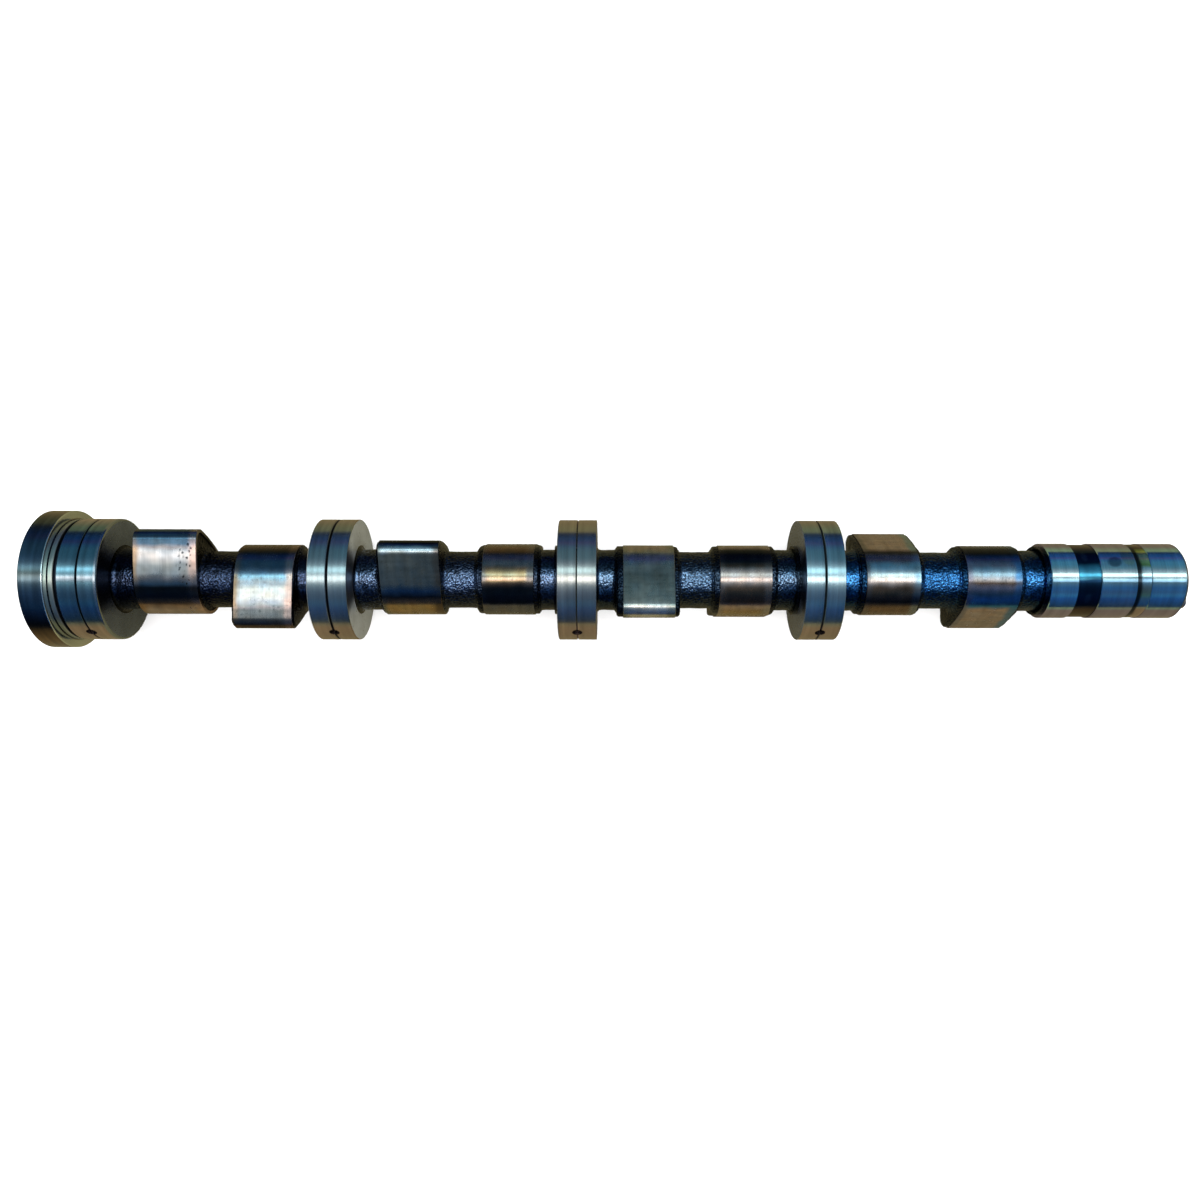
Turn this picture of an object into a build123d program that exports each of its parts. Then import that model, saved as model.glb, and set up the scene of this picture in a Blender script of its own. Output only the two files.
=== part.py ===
from build123d import *
from math import atan2, cos, degrees, radians, sin, sqrt
import os

# Overhead camshaft of a four-cylinder engine with eight valves.
#
# Frame: X runs along the axis of rotation, from the thrust flange at the flywheel end to the
# pulley end, and Z is up. The origin is the centre of the front journal, the bearing next to
# the pulley, from which an engine's bearings and cylinders are counted. All sizes are in
# millimetres.
#
# Pieces: the camshaft is one iron casting with ground bearings and cams, drilled for oil. A
# steel cup plug is pressed into the flange end to close the oil gallery, and a steel dowel is
# pressed into the other end face to locate the pulley.

# ---- Bearings -----------------------------------------------------------------------------
bearing_pitch = 95.0
large_bearings = 4
rear_journal_diameter = 48.55
journal_diameter_step = 0.20  # each journal is this much smaller, so the shaft slides in endwise
journal_width = 15.2
rear_journal_front_chamfer = 0.5
oil_groove_width = 1.1
oil_groove_depth = 0.7

# ---- Thrust flange, behind the rear journal -----------------------------------------------
flange_diameter = 55.0
flange_thickness = 9.5
flange_chamfer = 0.4
thrust_face_setback = 11.0  # from the centre of the rear journal
collar_diameter = 48.0  # short land between the thrust face and the grinding undercut
undercut_width = 1.3
undercut_depth = 1.2

# ---- Cast core ----------------------------------------------------------------------------
neck_diameter = 24.4  # beside the journals
core_diameter = 22.8  # between the two cams of a bay
journal_root = 1.6  # cast slope where a neck meets a journal's side face

# ---- Pulley end ---------------------------------------------------------------------------
front_journal_diameter = 29.95
front_journal_width = 10.6
front_relief_diameter = 29.1
front_relief_width = 8.8
seal_land_diameter = 30.0
seal_land_width = 14.1
seat_groove_diameter = 29.5
seat_groove_width = 5.4
pulley_seat_diameter = 30.0
pulley_seat_width = 14.6
pulley_seat_chamfer = 1.0

# ---- Cams ---------------------------------------------------------------------------------
cam_base_radius = 14.0
cam_nose_radius = 4.4
cam_lift = 8.8
cam_flank_radius = 90.0
cam_width = 25.3
cam_edge_chamfer = 1.2

# Each cam: its distance from the middle of its bay, and the direction of its nose in degrees
# from +Z towards +Y. A bay lies between two bearings and holds two cams, the rear one first.
cams = [
    (-18.35, 55.0),
    (20.05, -55.0),
    (-17.75, 35.0),
    (20.05, 145.0),
    (-19.95, -35.0),
    (18.15, -145.0),
    (-19.25, 125.0),
    (20.15, -125.0),
]

# ---- Oil drillings and the plug that closes them ------------------------------------------
oil_hole_diameter = 4.0
oil_hole_angle = -60.0  # from +Z towards +Y
gallery_diameter = 9.0
gallery_run_out = 6.0  # how far the gallery runs past the last oil hole
plug_diameter = 16.0
plug_length = 6.0
plug_wall = 1.4
plug_sink = 0.6  # how far the plug's rim lies under the end face
plug_corner_chamfer = 0.8

# ---- Pulley bolt hole and locating dowel -----------------------------------------------
pulley_bolt_tap_diameter = 10.2
pulley_bolt_thread_length = 32.0
pulley_bolt_mouth_diameter = 12.4
dowel_shank_diameter = 6.4  # the part that is pressed in
dowel_tip_diameter = 6.0  # the part that the pulley slides over
dowel_hole_depth = 9.0
dowel_reach = 2.4  # how far the dowel stands out of the end face
dowel_end_chamfer = 0.5
dowel_offset = 9.8  # from the axis of rotation
dowel_angle = -54.0  # from +Z towards +Y

# ---- Stations along the shaft -------------------------------------------------------------
journal_stations = [
    -bearing_pitch * (large_bearings - number) for number in range(large_bearings)
]
journal_diameters = [
    rear_journal_diameter - journal_diameter_step * number for number in range(large_bearings)
]
cam_stations = [
    journal_stations[number // 2] + bearing_pitch / 2 + shift
    for number, (shift, _) in enumerate(cams)
]
thrust_face_x = journal_stations[0] - thrust_face_setback
rear_face_x = thrust_face_x - flange_thickness
front_journal_x = -front_journal_width / 2  # the rear end of each band of the pulley end
front_relief_x = front_journal_x + front_journal_width
seal_land_x = front_relief_x + front_relief_width
seat_groove_x = seal_land_x + seal_land_width
pulley_seat_x = seat_groove_x + seat_groove_width
front_face_x = pulley_seat_x + pulley_seat_width


def around_axis(angle, radius):
    """Y and Z of a point at this radius, its angle counted from +Z towards +Y."""
    return radius * sin(radians(angle)), radius * cos(radians(angle))


def land(start, end, diameter, rear_chamfer=0.0, front_chamfer=0.0):
    """Outline points of one cylinder, as (x, radius), with a 45 degree chamfer at each end."""
    radius = diameter / 2
    return [
        (start, radius - rear_chamfer),
        (start + rear_chamfer, radius),
        (end - front_chamfer, radius),
        (end, radius - front_chamfer),
    ]


def bay(start, end, rear_cam, front_cam):
    """Outline points of the cast core between two bearings, slightly waisted between the cams.

    It slopes up to the bearings. Where its radius changes, the change is hidden in a cam.
    """
    neck_radius = neck_diameter / 2
    core_radius = core_diameter / 2
    return [
        (start, neck_radius + journal_root),
        (start + journal_root, neck_radius),
        (rear_cam, neck_radius),
        (rear_cam, core_radius),
        (front_cam, core_radius),
        (front_cam, neck_radius),
        (end - journal_root, neck_radius),
        (end, neck_radius + journal_root),
    ]


def without_repeats(points):
    """The same outline with each point that repeats the one before it left out."""
    return [
        point
        for index, point in enumerate(points)
        if index == 0 or point != points[index - 1]
    ]


def turned_outline():
    """Half section of everything that is turned about the axis, as (x, radius)."""
    half_width = journal_width / 2
    rear_journal_start = journal_stations[0] - half_width
    undercut_start = rear_journal_start - undercut_width
    undercut_diameter = collar_diameter - 2 * undercut_depth
    points = [(rear_face_x, 0.0)]
    points += land(rear_face_x, thrust_face_x, flange_diameter, flange_chamfer, flange_chamfer)
    points += land(thrust_face_x, undercut_start, collar_diameter)
    points += land(undercut_start, rear_journal_start, undercut_diameter)
    for number, station in enumerate(journal_stations):
        front_chamfer = rear_journal_front_chamfer if number == 0 else 0.0
        start = station - half_width
        end = station + half_width
        last = number == large_bearings - 1
        next_start = front_journal_x if last else journal_stations[number + 1] - half_width
        points += land(start, end, journal_diameters[number], 0.0, front_chamfer)
        points += bay(end, next_start, cam_stations[2 * number], cam_stations[2 * number + 1])
    points += land(front_journal_x, front_relief_x, front_journal_diameter)
    points += land(front_relief_x, seal_land_x, front_relief_diameter)
    points += land(seal_land_x, seat_groove_x, seal_land_diameter)
    points += land(seat_groove_x, pulley_seat_x, seat_groove_diameter)
    points += land(pulley_seat_x, front_face_x, pulley_seat_diameter, 0.0, pulley_seat_chamfer)
    points.append((front_face_x, 0.0))
    return without_repeats(points)


def cam_outline():
    """The cam's outline as a closed line, with its nose along X.

    Two equal flank arcs are tangent to the base circle and to the nose circle. Their centres
    lie where a circle about the shaft of radius flank - base meets one about the nose's
    centre of radius flank - nose.
    """
    base = cam_base_radius
    nose = cam_nose_radius
    flank = cam_flank_radius
    nose_centre = base + cam_lift - nose
    to_shaft = flank - base
    to_nose = flank - nose
    centre_x = (to_shaft**2 - to_nose**2 + nose_centre**2) / (2 * nose_centre)
    centre_y = sqrt(to_shaft**2 - centre_x**2)
    base_angle = degrees(atan2(centre_y, -centre_x))
    nose_angle = degrees(atan2(centre_y, nose_centre - centre_x))
    flank_middle = (base_angle + nose_angle) / 2

    def on_circle(centre, radius, angle):
        turn = radians(angle)
        return centre[0] + radius * cos(turn), centre[1] + radius * sin(turn)

    with BuildLine() as outline:
        for side in (1, -1):
            flank_centre = (centre_x, -side * centre_y)
            ThreePointArc(
                on_circle((0, 0), base, side * base_angle),
                on_circle(flank_centre, flank, side * flank_middle),
                on_circle((nose_centre, 0), nose, side * nose_angle),
            )
        ThreePointArc(
            on_circle((0, 0), base, base_angle),
            (-base, 0),
            on_circle((0, 0), base, -base_angle),
        )
        ThreePointArc(
            on_circle((nose_centre, 0), nose, nose_angle),
            (nose_centre + nose, 0),
            on_circle((nose_centre, 0), nose, -nose_angle),
        )
    return outline.line


# One cam, its nose along +Z and the middle of its width at X = 0.
with BuildPart() as cam:
    with BuildSketch(Plane(origin=(-cam_width / 2, 0, 0), x_dir=(0, 0, 1), z_dir=(1, 0, 0))):
        add(cam_outline())
        make_face()
    extrude(amount=cam_width)
    cheeks = cam.faces().filter_by(Axis.X)
    chamfer(cheeks.edges(), cam_edge_chamfer)

with BuildPart() as camshaft:
    # Everything that is round about the axis, as one turned outline.
    with BuildSketch():
        with BuildLine():
            Polyline(*turned_outline(), close=True)
        make_face()
    revolve(axis=Axis.X)

    # The cams, each turned about the axis to its own nose direction.
    for station, (_, nose_direction) in zip(cam_stations, cams):
        with Locations(Location((station, 0, 0), (-nose_direction, 0, 0))):
            add(cam.part)

    # A V groove round the middle of each large journal, which spreads the oil.
    for station, diameter in zip(journal_stations, journal_diameters):
        radius = diameter / 2
        half_width = oil_groove_width / 2
        with BuildSketch():
            with BuildLine():
                Polyline(
                    (station - half_width, radius),
                    (station, radius - oil_groove_depth),
                    (station + half_width, radius),
                    (station + half_width, radius + oil_groove_depth),
                    (station - half_width, radius + oil_groove_depth),
                    close=True,
                )
            make_face()
        revolve(axis=Axis.X, mode=Mode.SUBTRACT)

    # The oil gallery, drilled from the flange end, with the counterbore for its plug.
    gallery_end = journal_stations[-1] + gallery_run_out
    with BuildSketch(Plane(origin=(rear_face_x, 0, 0), z_dir=(1, 0, 0))):
        Circle(gallery_diameter / 2)
    extrude(amount=gallery_end - rear_face_x, mode=Mode.SUBTRACT)
    with BuildSketch(Plane(origin=(rear_face_x, 0, 0), z_dir=(1, 0, 0))):
        Circle(plug_diameter / 2)
    extrude(amount=plug_sink + plug_length, mode=Mode.SUBTRACT)

    # One radial oil hole from the bottom of each V groove down to the gallery.
    for station, diameter in zip(journal_stations, journal_diameters):
        hole_y, hole_z = around_axis(oil_hole_angle, 1.0)
        with BuildSketch(Plane(origin=(station, 0, 0), x_dir=(1, 0, 0), z_dir=(0, hole_y, hole_z))):
            Circle(oil_hole_diameter / 2)
        extrude(amount=diameter / 2, mode=Mode.SUBTRACT)

    # The pulley's bolt hole with its countersunk mouth, and the hole for its locating dowel.
    with Locations(Plane(origin=(front_face_x, 0, 0), z_dir=(1, 0, 0))):
        CounterSinkHole(
            radius=pulley_bolt_tap_diameter / 2,
            counter_sink_radius=pulley_bolt_mouth_diameter / 2,
            depth=pulley_bolt_thread_length,
        )
    dowel_y, dowel_z = around_axis(dowel_angle, dowel_offset)
    with Locations(Plane(origin=(front_face_x, dowel_y, dowel_z), z_dir=(1, 0, 0))):
        Hole(dowel_shank_diameter / 2, depth=dowel_hole_depth)

with BuildPart() as gallery_plug:
    # A cup plug: its closed end looks into the gallery, and its open end outwards.
    cup_rear_x = rear_face_x + plug_sink
    with BuildSketch(Plane(origin=(cup_rear_x, 0, 0), z_dir=(1, 0, 0))):
        Circle(plug_diameter / 2)
    extrude(amount=plug_length)
    closed_end = gallery_plug.faces().sort_by(Axis.X)[-1]
    chamfer(closed_end.edges(), plug_corner_chamfer)
    open_end = gallery_plug.faces().sort_by(Axis.X)[0]
    offset(amount=-plug_wall, openings=open_end)

with BuildPart() as pulley_dowel:
    # A stepped pin on the bottom of its hole, with both ends chamfered so that they start easily.
    dowel_rear_x = front_face_x - dowel_hole_depth
    with BuildSketch(Plane(origin=(dowel_rear_x, dowel_y, dowel_z), z_dir=(1, 0, 0))):
        Circle(dowel_shank_diameter / 2)
    extrude(amount=dowel_hole_depth)
    with BuildSketch(Plane(origin=(front_face_x, dowel_y, dowel_z), z_dir=(1, 0, 0))):
        Circle(dowel_tip_diameter / 2)
    extrude(amount=dowel_reach)
    dowel_ends = pulley_dowel.faces().sort_by(Axis.X)
    chamfer([*dowel_ends[0].edges(), *dowel_ends[-1].edges()], dowel_end_chamfer)

os.makedirs("parts", exist_ok=True)
camshaft.part.label = "camshaft"
export_step(camshaft.part, "parts/camshaft.step")
gallery_plug.part.label = "gallery_plug"
export_step(gallery_plug.part, "parts/gallery_plug.step")
pulley_dowel.part.label = "pulley_dowel"
export_step(pulley_dowel.part, "parts/pulley_dowel.step")
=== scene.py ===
# %% [markdown]
# # A cast overhead camshaft
#
# A camshaft like this one is a single iron casting. The foundry leaves a rough, dark skin on it,
# and only the surfaces that touch something are ground bright afterwards: the bearing journals,
# the cams, the thrust flange and the seats at the pulley end. So two kinds of surface meet all
# along the shaft, and this lesson builds each kind in its own way. The frame that is loaded here
# is the CAD model: it fixes the size, and every piece below is laid over it.

import math

import bpy
import numpy as np
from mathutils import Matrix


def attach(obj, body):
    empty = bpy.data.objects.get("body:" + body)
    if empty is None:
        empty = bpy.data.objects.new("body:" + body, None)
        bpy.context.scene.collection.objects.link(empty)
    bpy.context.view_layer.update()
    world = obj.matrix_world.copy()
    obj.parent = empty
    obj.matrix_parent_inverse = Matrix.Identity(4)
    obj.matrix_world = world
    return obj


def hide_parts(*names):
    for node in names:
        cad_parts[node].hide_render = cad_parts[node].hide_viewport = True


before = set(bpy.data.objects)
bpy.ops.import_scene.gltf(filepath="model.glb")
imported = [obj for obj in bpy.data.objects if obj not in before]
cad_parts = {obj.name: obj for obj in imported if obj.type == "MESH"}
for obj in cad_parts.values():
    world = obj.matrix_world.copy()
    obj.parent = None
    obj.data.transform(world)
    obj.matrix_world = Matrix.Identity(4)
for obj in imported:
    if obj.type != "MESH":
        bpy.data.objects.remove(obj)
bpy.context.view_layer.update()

MM = 0.001
TURN = 2.0 * np.pi

bearing_pitch = 95.0
journal_stations = [-bearing_pitch * bays for bays in (4, 3, 2, 1)]
journal_radii = [24.275, 24.175, 24.075, 23.975]
journal_half_width = 7.6
neck_radius = 12.2  # beside the journals
core_radius = 11.4  # between the two cams of a bay
front_journal_rear = -5.3

cam_base_radius = 14.0
cam_nose_radius = 4.4
cam_lift = 8.8
cam_flank_radius = 90.0
cheek_inset = 0.35  # how far the cast cheeks of a cam lie under its ground band

# Each cam: where the middle of its ground band stands along the axis, and the direction of its
# nose in degrees, counted from straight up (+Z) towards +Y.
cams = [
    (-350.5, 55.0),
    (-312.1, -55.0),
    (-254.9, 35.0),
    (-217.1, 145.0),
    (-162.1, -35.0),
    (-124.0, -145.0),
    (-66.4, 125.0),
    (-27.0, -125.0),
]
print("frame nodes:", sorted(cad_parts))

# %% [markdown]
# ## Turning a section into a surface
#
# A lathe makes a surface of revolution: an outline turned about the axis. In numpy that is a
# grid. One direction of the grid runs along the section, the other around the shaft, and the
# radius may depend on both, which is what turns a cylinder into a cam or a rough casting. The
# section is a closed loop that comes back under the skin, so the surface has no open edge, no
# seam and no pole. The whole grid is made at once, as arrays, and its faces are numbered by
# adding one row or one column, so no loop ever visits a single vertex.

# %% Sections and angles


def section(corners, spacing):
    """Points along a closed outline, from its corners as (x, radius) in millimetres.

    Each edge is divided evenly, into steps no longer than the spacing. The last edge, which
    leads back to the first corner under the skin, is a single step.
    """
    parts = []
    for start, end in zip(corners, corners[1:]):
        length = math.dist(start, end)
        steps = max(1, math.ceil(length / spacing))
        share = np.arange(steps)[:, None] / steps
        parts.append(np.array(start) + share * (np.array(end) - np.array(start)))
    return np.concatenate((*parts, [corners[-1]]))


def around(x, radius, angle):
    """Points in millimetres from position along the axis, radius, and angle from +Z towards +Y."""
    x, radius, angle = np.broadcast_arrays(x, radius, angle)
    return np.stack((x, radius * np.sin(angle), radius * np.cos(angle)), axis=-1)


# %% Unevenness


def waves(points, wavelength, count, seed):
    """A smooth random field between about -1 and 1.

    It is the sum of plane waves: each one is the sine of position along a random direction,
    and all of them have nearly the same wavelength, in millimetres.
    """
    random = np.random.default_rng(seed)
    direction = random.normal(size=(count, 3))
    direction /= np.linalg.norm(direction, axis=1, keepdims=True)
    pitch = TURN / (wavelength * random.uniform(0.75, 1.5, size=count))
    phase = random.uniform(0.0, TURN, size=count)
    total = np.zeros(points.shape[:-1])
    for one in range(count):
        total += np.sin(points @ (direction[one] * pitch[one]) + phase[one])
    return total * math.sqrt(2.0 / count) / 2.0


def along_normals(points, height):
    """The grid moved outwards by a height in millimetres, along the surface's own normals."""
    across = np.roll(points, -1, axis=0) - np.roll(points, 1, axis=0)
    round_it = np.roll(points, -1, axis=1) - np.roll(points, 1, axis=1)
    normal = np.cross(across, round_it)
    normal /= np.linalg.norm(normal, axis=-1, keepdims=True) + 1e-12
    return points + normal * height[..., None]


# %% From a grid to a mesh


def piece(name, points, materials, row_material=None, marks=None, sharp=35.0):
    """A closed mesh from a grid of points in millimetres that wraps round in both directions.

    Rows run along the section and columns around the shaft. row_material gives each row's place
    in the list of materials, and marks are named values at the vertices for the shaders.
    """
    rows, columns = points.shape[:2]
    here_row, here_column = np.meshgrid(np.arange(rows), np.arange(columns), indexing="ij")
    next_row = (here_row + 1) % rows
    next_column = (here_column + 1) % columns
    corners = np.stack(
        (
            here_row * columns + here_column,
            next_row * columns + here_column,
            next_row * columns + next_column,
            here_row * columns + next_column,
        ),
        axis=-1,
    ).reshape(-1)
    mesh = bpy.data.meshes.new(name)
    mesh.vertices.add(rows * columns)
    mesh.vertices.foreach_set("co", (points * MM).astype(np.float32).reshape(-1))
    mesh.loops.add(len(corners))
    mesh.loops.foreach_set("vertex_index", corners.astype(np.int32))
    mesh.polygons.add(rows * columns)
    starts = np.arange(0, len(corners), 4)
    mesh.polygons.foreach_set("loop_start", starts.astype(np.int32))
    if row_material is not None:
        per_face = np.repeat(np.asarray(row_material), columns)
        mesh.polygons.foreach_set("material_index", per_face.astype(np.int32))
    for label, values in (marks or {}).items():
        if label == "steel":
            attribute = mesh.attributes.new(label, "FLOAT_COLOR", "POINT")
            solid = np.ones((rows, columns, 4), dtype=np.float32)
            solid[..., :3] = values
            attribute.data.foreach_set("color", solid.reshape(-1))
            continue
        attribute = mesh.attributes.new(label, "FLOAT", "POINT")
        flat = np.broadcast_to(values, (rows, columns)).astype(np.float32).reshape(-1)
        attribute.data.foreach_set("value", flat)
    turn_share = np.stack((here_column, here_column, here_column + 1, here_column + 1), axis=-1)
    along = points[..., 0].reshape(-1)[corners].reshape(rows, columns, 4)
    uv = np.stack((turn_share / columns, along / 10.0), axis=-1).astype(np.float32)
    mesh.uv_layers.new(name="UVMap").data.foreach_set("uv", uv.reshape(-1))
    mesh.update(calc_edges=True)
    mesh.validate()
    mesh.polygons.foreach_set("use_smooth", np.ones(len(mesh.polygons), dtype=bool))
    mesh.set_sharp_from_angle(angle=math.radians(sharp))
    obj = bpy.data.objects.new(name, mesh)
    bpy.context.scene.collection.objects.link(obj)
    for material in materials:
        mesh.materials.append(material)
    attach(obj, "root")
    print(f"{name}: {rows} x {columns} grid, {2 * rows * columns} triangles")
    return obj


# %% Soft limits and tints


def steps(value, low, high, softness):
    """0 outside and 1 inside the interval from low to high, with soft shoulders."""
    rise = 0.5 + 0.5 * np.tanh((value - low) / (2.0 * softness))
    fall = 0.5 - 0.5 * np.tanh((value - high) / (2.0 * softness))
    return rise * fall


def from_top(angle):
    """An angle in degrees from straight up, between -180 and 180, positive towards +Y."""
    return (np.degrees(angle) + 180.0) % 360.0 - 180.0


def tinted(colours, target, share):
    """The colours moved towards a target colour, by a share between 0 and 1."""
    return colours + share * (np.array(target) - colours)


# %% [markdown]
# ## Shared effects as node groups
#
# Three effects come back on many surfaces, so each is a node group with named inputs. Grinding
# leaves fine lines that run round the shaft: a noise that changes quickly along the axis and
# slowly around it. A casting cools against sand, which leaves a hammered skin. And oil that has
# run over a part makes patches that shine more or less than their surroundings.

# %% Node helpers


def new_group(name, inputs, outputs):
    """An empty shader node group with the named sockets, and its two end nodes."""
    tree = bpy.data.node_groups.new(name, "ShaderNodeTree")
    for label, kind, value in inputs:
        socket = tree.interface.new_socket(name=label, in_out="INPUT", socket_type=kind)
        if value is not None:
            socket.default_value = value
    for label, kind in outputs:
        tree.interface.new_socket(name=label, in_out="OUTPUT", socket_type=kind)
    return tree, tree.nodes.new("NodeGroupInput"), tree.nodes.new("NodeGroupOutput")


def math_node(tree, operation, first, second=None, clamp=False):
    """A math node whose inputs are sockets or numbers; returns its result."""
    node = tree.nodes.new("ShaderNodeMath")
    node.operation = operation
    node.use_clamp = clamp
    for slot, value in enumerate((first, second)):
        if value is None:
            continue
        if isinstance(value, (int, float)):
            node.inputs[slot].default_value = value
        else:
            tree.links.new(value, node.inputs[slot])
    return node.outputs[0]


def weighted_sum(tree, *terms):
    """The sum of sockets, each of them times its weight."""
    total = None
    for value, weight in terms:
        share = value if weight == 1.0 else math_node(tree, "MULTIPLY", value, weight)
        total = share if total is None else math_node(tree, "ADD", total, share)
    return total


def mix_colour(tree, share, first, second, blend="MIX"):
    """A colour mix whose inputs are sockets, numbers or colours; returns its result."""
    node = tree.nodes.new("ShaderNodeMix")
    node.data_type = "RGBA"
    node.blend_type = blend
    for slot, value in ((0, share), (6, first), (7, second)):
        if isinstance(value, (int, float)):
            node.inputs[slot].default_value = value
        elif isinstance(value, tuple):
            node.inputs[slot].default_value = (*value, 1.0)
        else:
            tree.links.new(value, node.inputs[slot])
    return node.outputs[2]


def ramp(tree, value, stops):
    """A colour ramp through (position, colour) stops."""
    node = tree.nodes.new("ShaderNodeValToRGB")
    node.color_ramp.elements[0].position = stops[0][0]
    node.color_ramp.elements[0].color = (*stops[0][1], 1.0)
    node.color_ramp.elements[1].position = stops[-1][0]
    node.color_ramp.elements[1].color = (*stops[-1][1], 1.0)
    for position, colour in stops[1:-1]:
        node.color_ramp.elements.new(position).color = (*colour, 1.0)
    tree.links.new(value, node.inputs[0])
    return node.outputs[0]


def noise(tree, vector, scale, detail=3.0, roughness=0.5):
    """A noise texture read at a vector socket; returns its value."""
    node = tree.nodes.new("ShaderNodeTexNoise")
    node.inputs["Scale"].default_value = scale
    node.inputs["Detail"].default_value = detail
    node.inputs["Roughness"].default_value = roughness
    tree.links.new(vector, node.inputs["Vector"])
    return node.outputs[0]


def stretched(tree, vector, scale):
    """A vector scaled differently along each axis by a mapping node."""
    node = tree.nodes.new("ShaderNodeMapping")
    node.inputs["Scale"].default_value = scale
    tree.links.new(vector, node.inputs["Vector"])
    return node.outputs[0]


def ranged(tree, value, low, high, to_low=0.0, to_high=1.0):
    """Part of a value's range spread over a new range, held at its ends."""
    node = tree.nodes.new("ShaderNodeMapRange")
    for slot, number in zip((1, 2, 3, 4), (low, high, to_low, to_high)):
        node.inputs[slot].default_value = number
    tree.links.new(value, node.inputs[0])
    return node.outputs[0]


# %% Grinding lines
# The UV map's second value runs along the axis, in centimetres.
grinding, start, end = new_group(
    "Grinding lines",
    [("UV", "NodeSocketVector", None), ("Contrast", "NodeSocketFloat", 0.5)],
    [("Lines", "NodeSocketFloat"), ("Height", "NodeSocketFloat")],
)
fine = noise(grinding, stretched(grinding, start.outputs["UV"], (14.0, 60.0, 1.0)), 1.0, 4.0, 0.7)
broad = noise(grinding, stretched(grinding, start.outputs["UV"], (3.0, 16.0, 1.0)), 1.0, 3.0)
both = weighted_sum(grinding, (fine, 0.5), (broad, 0.5))
centred = math_node(grinding, "SUBTRACT", both, 0.5)
scaled = math_node(grinding, "MULTIPLY", centred, start.outputs["Contrast"])
grinding.links.new(math_node(grinding, "ADD", scaled, 0.5, True), end.inputs["Lines"])
grinding.links.new(fine, end.inputs["Height"])

# %% Hammered skin
# From object coordinates in metres: rounded cells, with fine grain and broad lumps over them.
hammered, start, end = new_group(
    "Hammered skin",
    [("Coordinate", "NodeSocketVector", None)],
    [("Height", "NodeSocketFloat"), ("Hollows", "NodeSocketFloat")],
)
cells = hammered.nodes.new("ShaderNodeTexVoronoi")
cells.feature = "SMOOTH_F1"
cells.inputs["Scale"].default_value = 1200.0
cells.inputs["Smoothness"].default_value = 0.5
hammered.links.new(start.outputs["Coordinate"], cells.inputs["Vector"])
grain = noise(hammered, start.outputs["Coordinate"], 2600.0, 3.0, 0.6)
lumps = noise(hammered, start.outputs["Coordinate"], 420.0, 2.0)
height = weighted_sum(hammered, (grain, 0.35), (lumps, 0.8), (cells.outputs["Distance"], 0.9))
hammered.links.new(height, end.inputs["Height"])
hammered.links.new(ranged(hammered, cells.outputs["Distance"], 0.15, 0.6), end.inputs["Hollows"])

# %% Oil patches
# Soft islands of a large noise, sharpened by a threshold.
oil_patches, start, end = new_group(
    "Oil patches",
    [("Coordinate", "NodeSocketVector", None), ("Amount", "NodeSocketFloat", 0.5)],
    [("Mask", "NodeSocketFloat")],
)
islands = noise(oil_patches, start.outputs["Coordinate"], 70.0, 5.0, 0.55)
lifted = weighted_sum(oil_patches, (islands, 1.0), (start.outputs["Amount"], 0.3))
oil_patches.links.new(ranged(oil_patches, lifted, 0.58, 0.74), end.inputs["Mask"])
print("node groups:", [tree.name for tree in bpy.data.node_groups])

# %% [markdown]
# ## Materials
#
# The ground steel is metallic and nearly a mirror, so most of what it shows is the room. Heat and
# old oil have tinted it straw, brown, blue and teal, and the tint changes round the shaft more
# than along it. So a finish is a colour and a little roughness, a zone says at which angle round
# the shaft a finish lies, and each piece carries the blend of its zones at its vertices. Many
# zones also paint light, at fixed angles from straight up: painted highlights where the lamps
# reflect, bands of painted shade beside them, and lighter steel at the sides that paints a
# stronger reflection of the bench. The skin of the casting is dark and a little oily, with
# painted light on its top and painted shade on the cams' cheeks. Faces that were turned on a
# lathe but never ground are duller than either.

# %% Material helpers
# The dark colour that stains and painted shade mix in: painted shade in grooves, oil holes and on side
# faces, and real pits on the cams.
stain_and_shade_colour = (0.006, 0.007, 0.010)


def new_material(name):
    """A material with one Principled shader; also its tree, the shader and a coordinate node."""
    material = bpy.data.materials.new(name)
    material.use_nodes = True
    tree = material.node_tree
    coordinate = tree.nodes.new("ShaderNodeTexCoord")
    return material, tree, tree.nodes["Principled BSDF"], coordinate


def use_group(tree, group, links=None, values=None):
    """A node that calls a shared group, with its inputs linked or set."""
    node = tree.nodes.new("ShaderNodeGroup")
    node.node_tree = group
    for label, socket in (links or {}).items():
        tree.links.new(socket, node.inputs[label])
    for label, value in (values or {}).items():
        node.inputs[label].default_value = value
    return node


def mark(tree, label, output="Fac"):
    """What a piece's vertices carry under this name: a value, or with output Color a colour."""
    node = tree.nodes.new("ShaderNodeAttribute")
    node.attribute_name = label
    return node.outputs[output]


def bump(tree, height, strength, distance):
    """A normal from a height, in metres of relief at full strength."""
    node = tree.nodes.new("ShaderNodeBump")
    node.inputs["Strength"].default_value = strength
    node.inputs["Distance"].default_value = distance
    tree.links.new(height, node.inputs["Height"])
    return node.outputs["Normal"]


def join_shader(tree, shader, colour, metallic, roughness, normal):
    """The four things that every metal here says of itself, joined to its shader."""
    tree.links.new(colour, shader.inputs["Base Color"])
    shader.inputs["Metallic"].default_value = metallic
    tree.links.new(roughness, shader.inputs["Roughness"])
    tree.links.new(normal, shader.inputs["Normal"])


# %% Ground steel


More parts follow.
